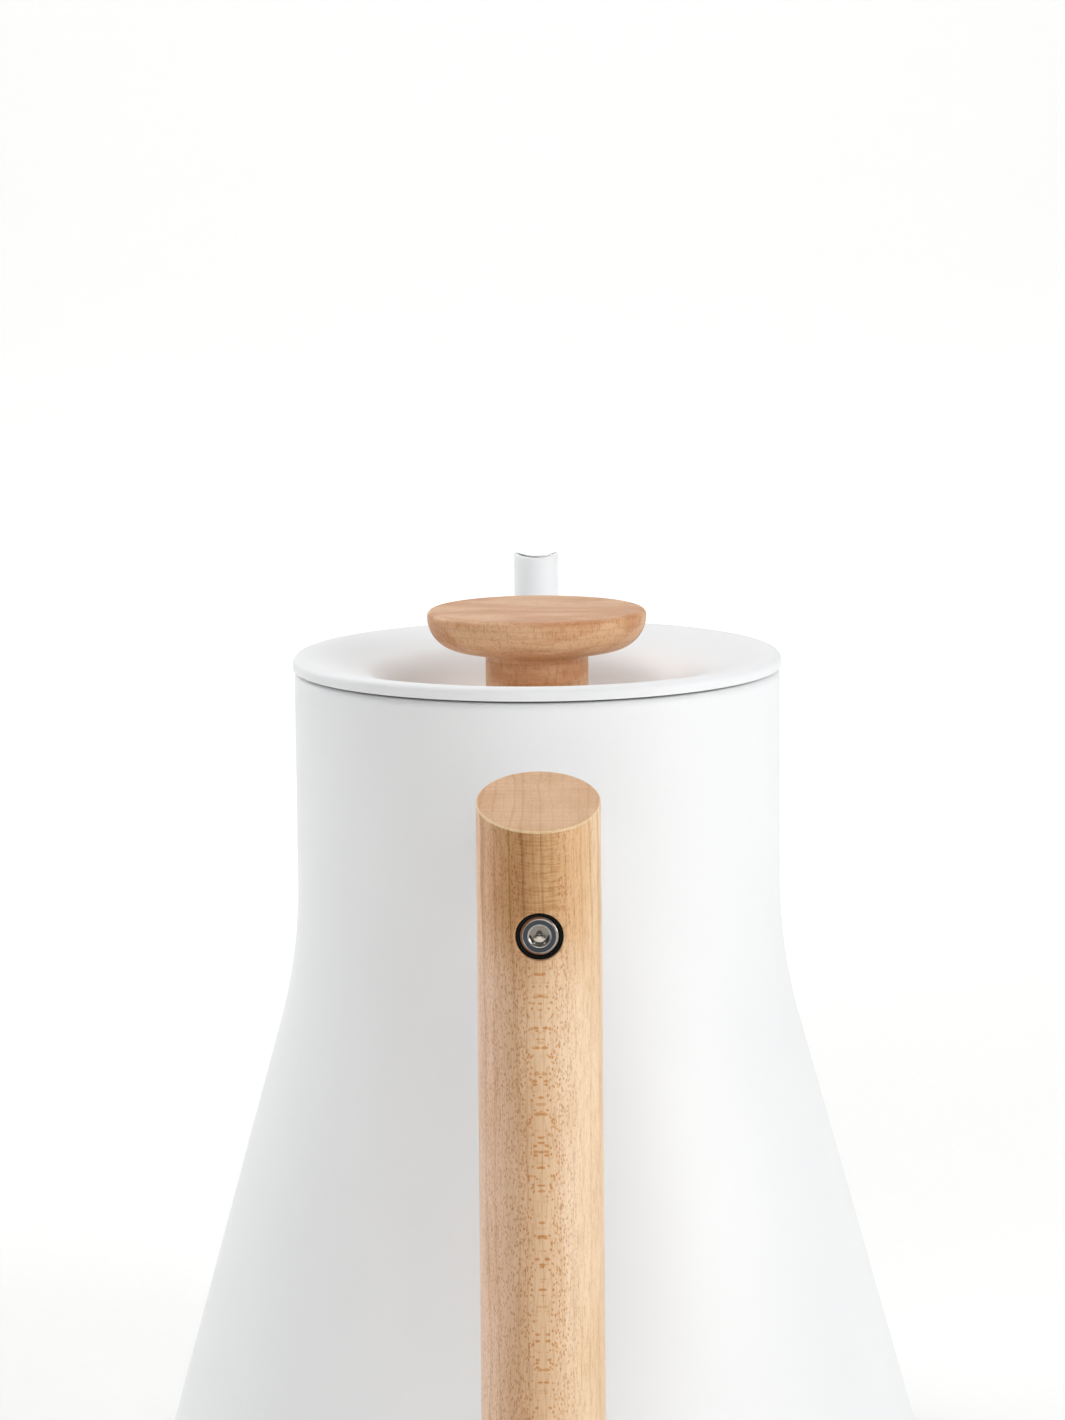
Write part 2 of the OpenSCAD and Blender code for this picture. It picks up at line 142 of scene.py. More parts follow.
def powderCoat():
    # powder coated steel: a satin white with a faint orange peel that softens every reflection
    look = dict(colour="F1F2F3", shade="EFF0F1", cloudSize=(38, 38, 55), peelSize=0.9, peelDepth=0.006,
                roughness=0.46, drift=0.03)
    made, tree, shader = newMaterial("whitePowderCoat", IOR=1.5)
    peel = addNode(tree, "TexNoise", Vector=millimetres(tree, [look["peelSize"]] * 3), Scale=1.0, Detail=2.0)
    cloud = addNode(tree, "TexNoise", Vector=millimetres(tree, look["cloudSize"]), Scale=1.0, Detail=2.0)
    shaded = band(tree, cloud.outputs[0], 0.3, 0.7)
    tree.links.new(blendColours(tree, shaded, linear(look["colour"]), linear(look["shade"])),
                   shader.inputs["Base Color"])
    rough = band(tree, cloud.outputs[0], 0.25, 0.75, look["roughness"] - look["drift"],
                 look["roughness"] + look["drift"])
    tree.links.new(rough, shader.inputs["Roughness"])
    setBump(tree, shader, peel.outputs[0], look["peelDepth"])
    return made


def spunStainless():
    # stainless steel spun on a lathe: fine rings about the kettle's axis, drawn coarse enough to show
    look = dict(colour="B9B8B5", shade="A3A29F", lineWidth=0.25, lineDepth=0.004, smooth=0.24, dull=0.38)
    made, tree, shader = newMaterial("spunStainless", Metallic=1.0)
    place = addNode(tree, "TexCoord").outputs["Object"]
    part = addNode(tree, "SeparateXYZ", i0=place)
    flat = addNode(tree, "CombineXYZ", X=part.outputs[0], Y=part.outputs[1])
    radius = addNode(tree, "VectorMath", dict(operation="LENGTH"), i0=flat.outputs[0]).outputs["Value"]
    perLine = 1 / (look["lineWidth"] * mm)
    line = addNode(tree, "CombineXYZ", X=maths(tree, "MULTIPLY", radius, perLine),
                   Y=maths(tree, "MULTIPLY", part.outputs[2], perLine))
    rings = addNode(tree, "TexNoise", Vector=line.outputs[0], Scale=1.0, Detail=3.0)
    shaded = band(tree, rings.outputs[0], 0.3, 0.7)
    tree.links.new(blendColours(tree, shaded, linear(look["colour"]), linear(look["shade"])),
                   shader.inputs["Base Color"])
    tree.links.new(band(tree, rings.outputs[0], 0.3, 0.7, look["smooth"], look["dull"]),
                   shader.inputs["Roughness"])
    setBump(tree, shader, rings.outputs[0], look["lineDepth"])
    return made


def ramp(tree, value, stops):
    # a colour that follows a value in millimetres, from (value, colour) pairs in rising order
    low, high = stops[0][0], stops[-1][0]
    share = maths(tree, "MULTIPLY", maths(tree, "SUBTRACT", value, low), 1 / (high - low))
    node = addNode(tree, "ValToRGB", Fac=share)
    dots = node.color_ramp.elements
    dots[0].color, dots[1].color = linear(stops[0][1]), linear(stops[-1][1])
    for place, tone in stops[1:-1]:
        dots.new((place - low) / (high - low)).color = linear(tone)
    return node.outputs[0]


def mapleWood(name, tones, axes="XYZ", shift=(0, 0, 0), front=None, heart=None, figure=1.0, rings=0.3,
              ray=(0.16, 26, 0.85), cloud="F6F0E8"):
    # turned maple with a clear satin oil: growth rings, fibres, and rays, which are thin plates set across
    # the grain. They show as short dashes where the surface lies along them and as ticks beside that, both
    # drawn two or three times as thick as they are. axes says which of the piece's axes run across the
    # rays, across the rings and along the fibres; front is how far the dashes reach, heart where the wood
    # turns richer, which goes with front; figure and rings are how strongly both show, ray the size of one
    # ray's cell
    look = dict(ring=1.7, ringBend=4.0, ringBendSize=(12, 7, 60), ringTint="D3BD9F",
                ringRise=(0.62, 0.93), ringFall=(1.0, 0.95),
                dash=(0.09, 26, 0.8), dashFade=1.5, dashTint="E7C295",
                tickFade=(-8, -3, 0.35, 1.0), tickTint="DFCBB7",
                rayBend=0.3, rayBendSize=(9, 30, 5), rayWidth=(0.437, 0.304),
                rayChoice=(0.1, 0.6, 0.25, 1.0),
                ripple=(2.5, 4, 0.3), rippleClimb=0.6, rippleShow=(0.45, 0.62), rippleFade=3,
                rippleTint="ECDFCE",
                fibre=(0.22, 0.22, 3.5), fibreShow=(0.47, 0.7), fibreTint="ECE2D8", fibreDepth=0.02,
                cloud=(7, 5, 26), smooth=0.37, dull=0.48)
    made, tree, shader = newMaterial(name, IOR=1.47)
    own = addNode(tree, "VectorMath", dict(operation="ADD"), i0=millimetres(tree), i1=shift).outputs[0]
    ownPart = addNode(tree, "SeparateXYZ", i0=own)
    across, radial, along = (ownPart.outputs["XYZ".index(letter)] for letter in axes)

    def grain(size, acrossBy=across, alongBy=along):
        parts = addNode(tree, "CombineXYZ", X=acrossBy, Y=radial, Z=alongBy)
        return addNode(tree, "VectorMath", dict(operation="MULTIPLY"), i0=parts.outputs[0],
                       i1=[1 / s for s in size]).outputs[0]

    def noise(place, detail=2.0):
        return addNode(tree, "TexNoise", Vector=place, Scale=1.0, Detail=detail).outputs[0]

    def times(*values):
        result = values[0]
        for value in values[1:]:
            result = maths(tree, "MULTIPLY", result, value)
        return result

    def shade(colour, mask, tint):
        # the colour times a tint, where the mask is set
        node = addNode(tree, "Mix", dict(data_type="RGBA", blend_type="MULTIPLY"), Factor=mask)
        tree.links.new(colour, node.inputs[6])
        node.inputs[7].default_value = linear(tint)
        return node.outputs[2]

    def rays(size, bent):
        # one ray in the middle of each cell, some of them faint
        cells = addNode(tree, "TexVoronoi", Vector=grain(size, bent), Scale=1.0, Randomness=1.0)
        chosen = addNode(tree, "SeparateColor", Color=cells.outputs["Color"]).outputs[0]
        return times(band(tree, cells.outputs["Distance"], *look["rayWidth"]),
                     band(tree, chosen, *look["rayChoice"]))

    rich = 0.0
    colour = ramp(tree, radial, tones)
    if heart:
        rich = band(tree, along, heart["low"], heart["high"])
        colour = blendColours(tree, rich, colour, ramp(tree, radial, heart["tones"]))
    colour = shade(colour, band(tree, noise(grain(look["cloud"])), 0.35, 0.65), cloud)

    # growth rings: each ends in a fine line, and no two are as wide or as dark
    place = maths(tree, "ADD", radial, times(noise(grain(look["ringBendSize"])), look["ringBend"]))
    count = maths(tree, "DIVIDE", place, look["ring"])
    year, number = maths(tree, "FRACT", count), maths(tree, "FLOOR", count)
    tone = addNode(tree, "TexWhiteNoise", dict(noise_dimensions="1D"), W=number).outputs[0]
    line = times(band(tree, year, *look["ringRise"]), band(tree, year, *look["ringFall"]),
                 band(tree, tone, 0.0, 1.0, 0.3, 1.0))
    strength = maths(tree, "ADD", times(rich, 0.5), rings)
    colour = shade(colour, times(line, strength), look["ringTint"])

    fibre = noise(grain(look["fibre"]), 3.0)
    colour = shade(colour, band(tree, fibre, *look["fibreShow"]), look["fibreTint"])

    # rays bend a little, so that they come and go along the piece
    bent = maths(tree, "ADD", across, times(noise(grain(look["rayBendSize"]), 1.0), look["rayBend"]))
    tick = rays(ray, bent)
    if front:
        side = maths(tree, "ABSOLUTE", radial)
        dash = times(rays(look["dash"], bent), band(tree, side, front + look["dashFade"], front))
        colour = shade(colour, times(dash, maths(tree, "SUBTRACT", 1.0, times(rich, 0.7))), look["dashTint"])
        # painted light: the ticks fade towards -Y, where the key light and its sheen wash them out
        tick = times(tick, band(tree, side, front - 1, front + 1), band(tree, radial, *look["tickFade"]))
    colour = shade(colour, times(tick, figure), look["tickTint"])
    if heart:
        # curly figure: fine cross lines that climb away from the front
        climb = maths(tree, "SUBTRACT", along, times(across, look["rippleClimb"]))
        curl = band(tree, noise(grain(look["ripple"], across, climb)), *look["rippleShow"])
        curl = times(curl, rich, band(tree, side, front + look["rippleFade"], front))
        colour = shade(colour, curl, look["rippleTint"])
    tree.links.new(colour, shader.inputs["Base Color"])

    tree.links.new(band(tree, fibre, 0.3, 0.7, look["smooth"], look["dull"]), shader.inputs["Roughness"])
    setBump(tree, shader, fibre, look["fibreDepth"], 0.5)
    return made


def turnedSteel():
    # stainless screw steel: turned edges are bright and the punched socket nearly so, painted a little
    # darker and warmer as painted shade; the head's flat face is painted dark, a painted reflection of a
    # dark room.
    # Each pair of numbers is a fade in millimetres from the axis of the grip's screw
    look = dict(bright="BAB7B1", worn="A8A5A0", wornSize=0.7, wornDepth=0.002, smooth=0.14, dull=0.22,
                dark="474A4F", darkFrom=(2.05, 2.2), darkTo=(3.0, 2.9),
                socket="8E877E", socketTo=(1.88, 1.76),
                soot="3A3836", sootFrom=(1.42, 1.55), sootTo=(1.85, 1.7), sootMiddle=(0.62, 0.3),
                sootHeight=(0.2, -0.5), sootStrength=0.85,
                oil="7C543A", oilFrom=(2.95, 3.1), oilTo=(3.6, 3.4), oilSide=(-2.5, 0.5, 0.3, 1.0))
    made, tree, shader = newMaterial("stainlessScrew")
    worn = addNode(tree, "TexNoise", Vector=millimetres(tree, [look["wornSize"]] * 3), Scale=1.0, Detail=2.0)
    tint = blendColours(tree, band(tree, worn.outputs[0], 0.3, 0.7), linear(look["bright"]),
                        linear(look["worn"]))
    place = addNode(tree, "SeparateXYZ", i0=millimetres(tree))
    y, z = place.outputs[1], maths(tree, "SUBTRACT", place.outputs[2], screwHeight)
    squares = [maths(tree, "MULTIPLY", v, v) for v in (y, z)]
    reach = maths(tree, "SQRT", maths(tree, "ADD", *squares))

    def between(start, end):
        # a ring about the axis
        return maths(tree, "MULTIPLY", band(tree, reach, *look[start]), band(tree, reach, *look[end]))

    # painted reflection: the head's flat face is painted dark for the dark room it faces
    tint = blendColours(tree, between("darkFrom", "darkTo"), tint, linear(look["dark"]))
    # painted shade: the socket's walls are painted darker and warmer than the turned edges
    tint = blendColours(tree, band(tree, reach, *look["socketTo"]), tint, linear(look["socket"]))
    # painted shade: darker in the socket's middle and along its lower flats
    soot = maths(tree, "MULTIPLY", between("sootFrom", "sootTo"), band(tree, z, *look["sootHeight"]))
    soot = maths(tree, "MAXIMUM", soot, band(tree, reach, *look["sootMiddle"]))
    soot = maths(tree, "MULTIPLY", soot, look["sootStrength"])
    tint = blendColours(tree, soot, tint, linear(look["soot"]))
    # painted reflection of the wood: a brown, less metallic band on the rim of the grip's screw, weaker on
    # its -Y side
    film = maths(tree, "MULTIPLY", between("oilFrom", "oilTo"), band(tree, y, *look["oilSide"]))
    tree.links.new(blendColours(tree, film, tint, linear(look["oil"])), shader.inputs["Base Color"])
    tree.links.new(maths(tree, "SUBTRACT", 1.0, film), shader.inputs["Metallic"])
    tree.links.new(band(tree, worn.outputs[0], 0.3, 0.7, look["smooth"], look["dull"]),
                   shader.inputs["Roughness"])
    setBump(tree, shader, worn.outputs[0], look["wornDepth"])
    return made


def plainSkin(name, size, tones, rough, depth, detail=2.0, **values):
    # a plain material whose colour and gloss drift with one fine grain, its size and depth in millimetres
    made, tree, shader = newMaterial(name, **values)
    place = millimetres(tree, [size] * 3)
    skin = addNode(tree, "TexNoise", Vector=place, Scale=1.0, Detail=detail).outputs[0]
    tree.links.new(blendColours(tree, skin, *map(linear, tones)), shader.inputs["Base Color"])
    tree.links.new(band(tree, skin, 0.3, 0.7, *rough), shader.inputs["Roughness"])
    setBump(tree, shader, skin, depth)
    return made


white = powderCoat()
steel = spunStainless()
# the tones across the grip are partly the maple's own and partly painted light: darker at 3 to 5.5 mm on +Y,
# where the grip turns from the key, paler towards -Y, where the key's sheen falls, and at the +Y edge, where
# a grazing reflection falls; the heart's tones likewise
gripMaple = mapleWood("gripMaple", [(-10, "EFD2AF"), (-4, "F2D6B8"), (0, "E5C39D"), (3, "DEBA97"),
                                    (5.5, "DAB492"), (9, "ECC9AE"), (10.5, "EBC8AD")], front=3.0,
                      heart=dict(low=rimHeight - 40.5, high=rimHeight - 23,
                                 tones=[(-10, "EDCEA8"), (-7.5, "E6C095"), (-4.5, "DFB789"), (0, "CEA573"),
                                        (2, "C19664"), (5, "C29663"), (7.5, "D0A378"), (10.2, "E8BE9A")]))
gripEndMaple = mapleWood("gripEndMaple", [(-11, "DFB792"), (0, "DBB38D"), (11, "DAB08A")],
                         figure=0.5, rings=0.36)
# a paler maple for the rounded edge of the grip's cut end: a painted highlight where it catches the top
# light
gripEdgeMaple = mapleWood("gripEdgeMaple", [(-11, "EFD6AF"), (11, "EDD2AA")], figure=0.3)
knobMaple = mapleWood("knobMaple", [(0, "DFB288"), (20, "DFB288")], axes="XZY", shift=(31, 7, 50),
                      figure=0.5, ray=(0.6, 2.6, 0.5), cloud="E9D2BC")
screwSteel = turnedSteel()
# black nylon, moulded: a deep black with hardly any sheen
blackNylon = plainSkin("blackNylon", 0.2, ("050404", "0A0808"), (0.62, 0.75), 0.006, Specular_IOR_Level=0.15)
# black silicone, moulded: a soft sheen, so that the lid's seam reads as a dark line
silicone = plainSkin("blackSilicone", 1.5, ("1B1A1A", "262525"), (0.42, 0.55), 0.01, IOR=1.41)
# brass turned and aluminium cast: small clouds of duller skin on a bare metal
brass = plainSkin("turnedBrass", 0.8, ("D9B45F", "B8924A"), (0.25, 0.37), 0.006, 3.0, Metallic=1.0)
aluminium = plainSkin("castAluminium", 0.8, ("CFCFCD", "B9B9B7"), (0.4, 0.52), 0.006, 3.0, Metallic=1.0)
print("materials ready")


# Meshes

def arc(x, z, radius, start, end, steps=16):
    turns = [math.radians(start + (end - start) * i / steps) for i in range(steps + 1)]
    return [(x + radius * math.cos(a), z + radius * math.sin(a)) for a in turns]


def shape(name, points, faces, materials, rides, stands, sharp=40):
    # a closed mesh in millimetres becomes a piece that rides on a body and stands for CAD nodes
    mesh = bpy.data.meshes.new(name)
    mesh.from_pydata([Vector(p) * mm for p in points], [], faces)
    for material in materials:
        mesh.materials.append(material)
    work = bmesh.new()
    work.from_mesh(mesh)
    bmesh.ops.remove_doubles(work, verts=work.verts, dist=1e-7)
    bmesh.ops.recalc_face_normals(work, faces=work.faces)
    work.to_mesh(mesh)
    work.free()
    mesh.shade_smooth()
    mesh.set_sharp_from_angle(angle=math.radians(sharp))
    piece = bpy.data.objects.new(name, mesh)
    scene.collection.objects.link(piece)
    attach(piece, rides)
    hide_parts(*stands)
    return piece


def supported(line, gap=0.25):
    # a point close to both ends of each long stretch keeps the shading of flat stretches flat
    result = []
    for (x0, z0), (x1, z1) in zip(line, line[1:] + line[:1]):
        result.append((x0, z0))
        length = math.hypot(x1 - x0, z1 - z0)
        if length > 4 * gap:
            steps = [gap / length, 1 - gap / length]
            result += [(x0 + (x1 - x0) * t, z0 + (z1 - z0) * t) for t in steps]
    return result


def lathe(line, sides=240):
    # a closed line of (radius, height), spun about Z
    line = supported(line)
    points = []
    rows = []
    for radius, height in line:
        if radius < 1e-6:
            rows.append([len(points)] * sides)
            points.append((0, 0, height))
        else:
            rows.append(range(len(points), len(points) + sides))
            for i in range(sides):
                a = 2 * math.pi * i / sides
                points.append((radius * math.cos(a), radius * math.sin(a), height))
    faces = []
    for low, high in zip(rows, list(rows[1:]) + [rows[0]]):
        if low[0] == low[1] and high[0] == high[1]:
            continue
        for i in range(sides):
            j = (i + 1) % sides
            corners = [low[i], low[j], high[j], high[i]]
            faces.append(list(dict.fromkeys(corners)))
    return points, faces


def sheet(line, thickness):
    # a sheet's closed outline, from a function that gives its line at a depth
    return line(0) + line(thickness)[::-1]


def joinRings(count, sides, closed=True):
    # the faces between rings of points that follow each other, the last joined to the first if closed
    faces = []
    for j in range(count if closed else count - 1):
        a, b = j * sides, (j + 1) % count * sides
        faces += [(a + i, a + (i + 1) % sides, b + (i + 1) % sides, b + i) for i in range(sides)]
    return faces


def drill(piece, cutters):
    # takes straight holes out of a piece: (place, direction, diameter, depth) each
    for place, direction, diameter, depth in cutters:
        bpy.ops.mesh.primitive_cylinder_add(vertices=48, radius=diameter / 2 * mm, depth=depth * mm)
        cutter = bpy.context.active_object
        turn = Vector((0, 0, 1)).rotation_difference(Vector(direction)).to_matrix().to_4x4()
        cutter.matrix_world = Matrix.Translation(Vector(place) * mm) @ turn
        modifier = piece.modifiers.new("hole", "BOOLEAN")
        modifier.object = cutter
        modifier.solver = "EXACT"
        bpy.context.view_layer.update()
        seen = piece.evaluated_get(bpy.context.evaluated_depsgraph_get())
        cut = bpy.data.meshes.new_from_object(seen)
        piece.modifiers.clear()
        piece.data = cut
        bpy.data.objects.remove(cutter)


def facing(face):
    # how far a face lies from the axis in millimetres, and how much it faces away from it
    x, y, z = face.center
    return math.hypot(x, y) / mm, face.normal.x * x + face.normal.y * y


# Body

body = dict(neckRadius=50, neckLength=44, footRadius=82, flareRadius=111, cornerRadius=5, metal=1.0,
            rimRadius=1.6, rimWidth=6, bendRadius=2, collarDepth=11, capsuleHeight=5, lipRadius=70.4,
            paintedRim=1.3, paintDepth=2, paintSlack=0.6)


def coneAngle():
    side = body["neckRadius"] + body["flareRadius"] - body["footRadius"]
    drop = rimHeight - body["neckLength"]
    return math.degrees(math.asin(body["flareRadius"] / math.hypot(side, drop)) - math.atan2(side, drop))


def coneRadius(height):
    return body["footRadius"] - height * math.tan(math.radians(coneAngle()))


def bodyLine(depth):
    angle = coneAngle()
    corner = body["cornerRadius"]
    cornerHeight = body["capsuleHeight"] + corner
    cornerX = coneRadius(cornerHeight) - corner / math.cos(math.radians(angle))
    neck, rim, bend = body["neckRadius"], body["rimRadius"], body["bendRadius"]
    collar = neck - body["rimWidth"]
    return ([(body["lipRadius"], body["capsuleHeight"] + depth)]
            + arc(cornerX, cornerHeight, corner - depth, -90, angle)
            + arc(neck + body["flareRadius"], rimHeight - body["neckLength"], body["flareRadius"] + depth,
                  180 + angle, 180, 40)
            + arc(neck - rim, rimHeight - rim, rim - depth, 0, 90, 12)
            + arc(collar + bend, rimHeight - bend, bend - depth, 90, 180, 12)
            + [(collar + depth, rimHeight - body["collarDepth"])])


def makeBody():
    points, faces = lathe(sheet(bodyLine, body["metal"]), 288)
    piece = shape("bodyShell", points, faces, [white, steel], "kettle",
                  ["body_shell", "body_neck", "neck_collar"])
    angle = math.radians(coneAngle())
    root = spout["rootHeight"]
    out = Vector((math.cos(angle), 0, math.sin(angle)))
    rise = Vector((-math.sin(angle), 0, math.cos(angle)))
    middle = Vector((coneRadius(root), 0, root))
    # the strainer: one hole in the middle of six
    places = [middle]
    for i in range(6):
        a = math.radians(30 + 60 * i)
        places.append(middle + spout["strainerPitch"] * (rise * math.cos(a) + Vector((0, math.sin(a), 0))))
    drill(piece, [(place, out, spout["strainer"], 8 * body["metal"]) for place in places])
    # the inside stays bare steel, and so does the ledge that the lid covers
    collar = body["neckRadius"] - body["rimWidth"] + body["bendRadius"] - body["paintSlack"]
    edge = body["neckRadius"] - body["paintedRim"]
    for face in piece.data.polygons:
        reach, away = facing(face)
        rim = reach > edge and face.center.z / mm > rimHeight - body["paintDepth"]
        face.material_index = 0 if rim or away > 0 and reach >= collar else 1


# Spout: a tube along a curve in the plane of the handle

spout = dict(reach=118, rise=9.9, tipRadius=5.15, rootRadius=12.5, rootHeight=48, metal=0.8, fillet=3,
             rootPull=0.32, tipPull=0.42, straight=1, lean=24, frontDip=1.4, backDip=0.7, dipPower=1.6,
             strainer=4.4, strainerPitch=6.6)


def makeSpout():
    angle = math.radians(coneAngle())
    lean = math.radians(spout["lean"])
    tipWay = Vector((math.sin(lean), 0, math.cos(lean)))
    rootWay = Vector((math.cos(angle), 0, math.sin(angle)))
    mouthHeight = rimHeight + spout["rise"]
    room = spout["straight"] + spout["tipRadius"] * math.tan(lean) + spout["frontDip"]
    start = Vector((coneRadius(spout["rootHeight"]), 0, spout["rootHeight"]))
    start += (spout["fillet"] + spout["straight"]) * rootWay
    end = Vector((spout["reach"], 0, mouthHeight)) - room * tipWay
    pull = end.z - spout["rootHeight"]
    curve = [start, start + spout["rootPull"] * pull * rootWay, end - spout["tipPull"] * pull * tipWay, end]
    legs = [b - a for a, b in zip(curve, curve[1:])]
    sides, count = 96, 90

    def along(t):
        s = 1 - t
        place = s ** 3 * curve[0] + 3 * t * s * s * curve[1] + 3 * t * t * s * curve[2] + t ** 3 * curve[3]
        way = s * s * legs[0] + 2 * t * s * legs[1] + t * t * legs[2]
        return place, way.normalized()

    def circle(place, way, radius):
        out = Vector((way.z, 0, -way.x))
        return [place + radius * (math.cos(a) * out + math.sin(a) * Vector((0, 1, 0)))
                for a in (2 * math.pi * i / sides for i in range(sides))]

    def foot(radius, rise):
        ring = circle(start, rootWay, radius)
        laid = [Vector((math.sqrt(coneRadius(p.z) ** 2 - p.y ** 2), p.y, p.z)) for p in ring]
        return [p + rise * rootWay for p in laid]

    def full(t, inset):
        place, way = along(t)
        radius = spout["tipRadius"] + (spout["rootRadius"] - spout["tipRadius"]) * (1 - t) ** 2
        return circle(place, way, radius - inset)

    def mouth(inset, drop):
        ring = full(1, inset)
        for i, p in enumerate(ring):
            front = math.cos(2 * math.pi * i / sides)
            dip = spout["frontDip"] if front > 0 else spout["backDip"]
            height = mouthHeight - drop - dip * abs(front) ** spout["dipPower"]
            ring[i] = p + (height - p.z) / tipWay.z * tipWay
        return ring

    fillet = spout["fillet"]
    turns = [math.radians(9 * i) for i in range(11)]
    rings = [foot(spout["rootRadius"] + fillet * (1 - math.sin(a)), fillet * (1 - math.cos(a)))
             for a in turns]
    rings += [full(i / count, 0) for i in range(count + 1)]
    # the lip is rounded over: half a circle from the outer skin to the inner one
    half, lipSteps = spout["metal"] / 2, 8
    for i in range(lipSteps + 1):
        a = math.radians(180 * i / lipSteps)
        rings.append(mouth(half - half * math.cos(a), half - half * math.sin(a)))
    rings += [full(1 - i / count, spout["metal"]) for i in range(count + 1)]
    rings.append(foot(spout["rootRadius"] - spout["metal"], 0))
    points, faces = [p for ring in rings for p in ring], joinRings(len(rings), sides)
    piece = shape("spout", points, faces, [white, steel], "kettle", ["spout"], 55)
    # the inside is bare steel from the middle of the lip down
    bare = (len(turns) + count + 1 + lipSteps // 2 + 1) * sides
    for face in piece.data.polygons:
        face.material_index = 1 if bare <= face.index < len(faces) - sides else 0


# Handle: arm, grip, sleeve and screw

handle = dict(reach=120, gripRadius=11.2, footRadius=11.4, topDrop=6.8, cut=17.6, footHeight=38, footEdge=2,
              topEdge=0.35, armDrop=29.3, armRadius=8, armMetal=1.5, armEdge=0.25, armGap=0.02, weld=2.0,
              boreRadius=4.3, boreDepth=5.6, boreEdge=0.3, clearance=2.3, clearanceEdge=0.2)
armHeight = rimHeight - handle["armDrop"]


def gripRadius(height):
    low = handle["footHeight"] + handle["footEdge"]
    t = (height - low) / (rimHeight - handle["topDrop"] - low)
    return handle["footRadius"] + (handle["gripRadius"] - handle["footRadius"]) * t


def makeGrip():
    # columns run round the dowel from its back, rows up it; square patches around both ends of the bore
    # have rings of their own
    patch, patchSteps, flankSteps, shaftSteps = 36.0, 12, 18, 24
    reach = handle["gripRadius"] * math.sin(math.radians(patch))
    flank = 180 - 2 * patch
    angles = [-patch + 2 * patch * i / patchSteps for i in range(patchSteps + 1)]
    angles += [patch + flank * i / flankSteps for i in range(1, flankSteps + 1)]
    angles += [180 - patch + 2 * patch * i / patchSteps for i in range(1, patchSteps + 1)]
    angles += [180 + patch + flank * i / flankSteps for i in range(1, flankSteps)]
    columns = len(angles)
    slope = math.tan(math.radians(handle["cut"]))
    middle = rimHeight - handle["topDrop"]
    low = handle["footHeight"] + handle["footEdge"]
    heights = [low + (armHeight - reach - low) * i / shaftSteps for i in range(shaftSteps + 1)]
    heights += [armHeight - reach + 2 * reach * i / patchSteps for i in range(1, patchSteps + 1)]
    firstRow, lastRow = shaftSteps, shaftSteps + patchSteps
    points, faces = [], []

    def add(x, y, z):
        points.append((x - handle["reach"], y, z))
        return len(points) - 1

    def around(radius, height):
        rows = []
        for a in angles:
            turn = math.radians(a)
            z = height(-radius * math.cos(turn)) if callable(height) else height
            rows.append(add(-radius * math.cos(turn), -radius * math.sin(turn), z))
        return rows

    rows = [around(gripRadius(z), z) for z in heights]
    edge, top = handle["topEdge"], handle["gripRadius"]
    rows.append(around(top, lambda x: middle + slope * x - 3))
    for i in range(7):
        t = i / 6
        inset, drop = edge * t * t, edge * (1 - t) ** 2
        rows.append(around(top - inset, lambda x: middle + slope * x - drop))
    rows += [around(top * s, lambda x: middle + slope * x) for s in (0.9, 0.6, 0.3)]
    foot = [around(radius, height) for radius, height
            in arc(handle["footRadius"] - handle["footEdge"], low, handle["footEdge"], -90, -9, 9)]
    foot = [around(handle["footRadius"] * s, handle["footHeight"]) for s in (0.3, 0.6)] + foot
    allRows = foot + rows
    offset = len(foot)
    front = patchSteps + flankSteps
    for j in range(len(allRows) - 1):
        inPatch = firstRow <= j - offset < lastRow
        for i in range(columns):
            if inPatch and (i < patchSteps or front <= i < front + patchSteps):
                continue
            k = (i + 1) % columns
            faces.append((allRows[j][i], allRows[j][k], allRows[j + 1][k], allRows[j + 1][i]))
    for row, height in ((allRows[0], handle["footHeight"]), (allRows[-1], middle)):
        tip = add(0, 0, height)
        faces += [(row[i], row[(i + 1) % columns], tip) for i in range(columns)]

    def border(first):
        # the patch's outer corners in order, starting at its lower first column
        grid = rows[firstRow:lastRow + 1]
        line = [grid[0][first + i] for i in range(patchSteps)]
        line += [grid[j][first + patchSteps] for j in range(patchSteps)]
        line += [grid[-1][first + patchSteps - i] for i in range(patchSteps)]
        return line + [grid[-1 - j][first] for j in range(patchSteps)]

    def hole(first, side, radius, rounding):
        # rings from the patch's border to the hole's rounded edge
        outer = border(first)
        last = outer
        turns = [math.atan2(points[p][2] - armHeight, points[p][1]) for p in outer]
        rim = radius + rounding
        steps = [(None, t) for t in (0.3, 0.55, 0.75, 0.9, 1.0)]
        steps += [(math.radians(15 * i), 1) for i in range(1, 7)]
        for bend, t in steps:
            ring = []
            for p, turn in zip(outer, turns):
                y, z = points[p][1], points[p][2] - armHeight
                reachNow = rim if bend is None else radius + rounding * (1 - math.sin(bend))
                y += (reachNow * math.cos(turn) - y) * t
                z += (reachNow * math.sin(turn) - z) * t
                x = math.sqrt(gripRadius(armHeight + z) ** 2 - y * y)
                if bend is not None:
                    x -= rounding * (1 - math.cos(bend))
                ring.append(add(side * x, y, armHeight + z))
            faces.extend((last[i], last[(i + 1) % len(ring)], ring[(i + 1) % len(ring)], ring[i])
                         for i in range(len(ring)))
            last = ring
        return last, turns

    def bridge(one, other):
        count = len(one)
        faces.extend((one[i], one[(i + 1) % count], other[(i + 1) % count], other[i]) for i in range(count))

    back, turns = hole(0, -1, handle["boreRadius"], handle["boreEdge"])
    frontEnd, frontTurns = hole(front, 1, handle["clearance"], handle["clearanceEdge"])
    floorX = -top + handle["boreDepth"]
    wide, narrow = ([add(floorX, radius * math.cos(a), armHeight + radius * math.sin(a)) for a in turns]
                    for radius in (handle["boreRadius"], handle["clearance"]))
    bridge(back, wide)
    bridge(wide, narrow)
